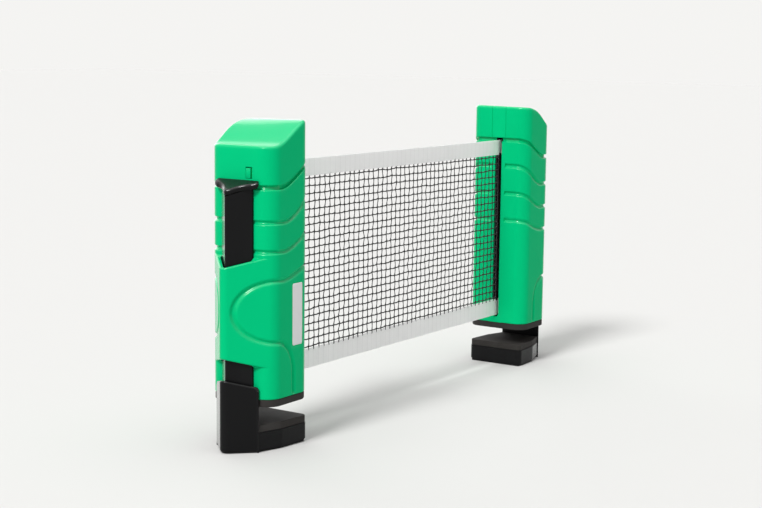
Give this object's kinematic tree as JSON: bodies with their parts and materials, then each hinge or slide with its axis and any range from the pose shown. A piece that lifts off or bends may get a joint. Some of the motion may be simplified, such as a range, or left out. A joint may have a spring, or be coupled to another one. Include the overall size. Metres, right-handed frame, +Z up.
{
  "type": "table tennis net clamp",
  "caption": "Retractable table tennis net joined to two green spring-clamp posts with black sliding jaws, drawn gripping a tabletop edge.",
  "frame": {"origin": "midway between the two posts, on the surface that the jaw feet stand on", "axes": "+X along the net from post a to post b, +Y across the net, +Z up"},
  "size_m": [0.4116, 0.052, 0.2145],
  "materials": {
    "green_plastic": "satin moulded plastic",
    "black_plastic": "satin moulded plastic",
    "black_rubber": "soft grip rubber",
    "steel": "plain zinc-plated steel",
    "grey_plastic": "plain moulded plastic",
    "net_tape": "thin woven tape",
    "net_thread": "knotted polyester thread"
  },
  "bodies": {
    "post_a": {"top_cap_a": "green_plastic", "housing_a": "green_plastic", "slot_frame_a": "green_plastic", "top_plate_a": "black_plastic", "base_plate_a": "black_plastic", "base_pad_a": "black_rubber", "base_screws_a": "steel", "reel_axle_a": "steel", "reel_spring_a": "steel", "guide_rods_a": "steel", "clamp_spring_a": "steel"},
    "clamp_a": {"clamp_slider_a": "black_plastic", "slider_keeper_a": "steel", "keeper_screws_a": "steel", "jaw_a": "black_plastic", "jaw_screws_a": "steel", "jaw_pad_a": "black_rubber"},
    "reel_a": {"reel_tube_a": "grey_plastic", "reel_bushes_a": "black_plastic", "wound_net_a": "net_tape"},
    "post_b": {"top_cap_b": "green_plastic", "housing_b": "green_plastic", "slot_frame_b": "green_plastic", "top_plate_b": "black_plastic", "base_plate_b": "black_plastic", "base_pad_b": "black_rubber", "base_screws_b": "steel", "reel_axle_b": "steel", "reel_spring_b": "steel", "guide_rods_b": "steel", "clamp_spring_b": "steel"},
    "clamp_b": {"clamp_slider_b": "black_plastic", "slider_keeper_b": "steel", "keeper_screws_b": "steel", "jaw_b": "black_plastic", "jaw_screws_b": "steel", "jaw_pad_b": "black_rubber"},
    "reel_b": {"reel_tube_b": "grey_plastic", "reel_bushes_b": "black_plastic", "wound_net_b": "net_tape"},
    "net": {"net_mesh": "net_thread", "top_band": "net_tape", "bottom_band": "net_tape"}
  },
  "joints": [
    {"name": "clamp_a_slide", "type": "slide", "parent": "post_a", "child": "clamp_a", "axis": [0, 0, 1], "range_m": [-0.044, 0], "stiffness_N_per_m": 250, "springref_m": 0.06, "deforming": ["clamp_spring_a"]},
    {"name": "net_from_a", "type": "slide", "parent": "post_a", "child": "net", "axis": [1, 0, 0], "range_m": [-0.25, 0], "deforming": ["net_mesh", "top_band", "bottom_band"]},
    {"name": "net_from_b", "type": "slide", "parent": "net", "child": "post_b", "axis": [1, 0, 0], "range_m": [0, 1.45], "deforming": ["net_mesh", "top_band", "bottom_band"]},
    {"name": "clamp_b_slide", "type": "slide", "parent": "post_b", "child": "clamp_b", "axis": [0, 0, 1], "range_m": [-0.044, 0], "stiffness_N_per_m": 250, "springref_m": 0.06, "deforming": ["clamp_spring_b"]},
    {"name": "reel_a_spin", "type": "hinge", "parent": "post_a", "child": "reel_a", "pos_m": [-0.165, 0, 0.1], "axis": [0, 0, 1], "range_deg": [-1115, 5]},
    {"name": "reel_b_spin", "type": "hinge", "parent": "post_b", "child": "reel_b", "pos_m": [0.165, 0, 0.1], "axis": [0, 0, 1], "range_deg": [-5, 8526]}
  ],
  "couplings": [
    {"joint": "reel_a_spin", "follows": "net_from_a", "rad_per_m": 77.519},
    {"joint": "reel_b_spin", "follows": "net_from_b", "rad_per_m": 102.56}
  ]
}
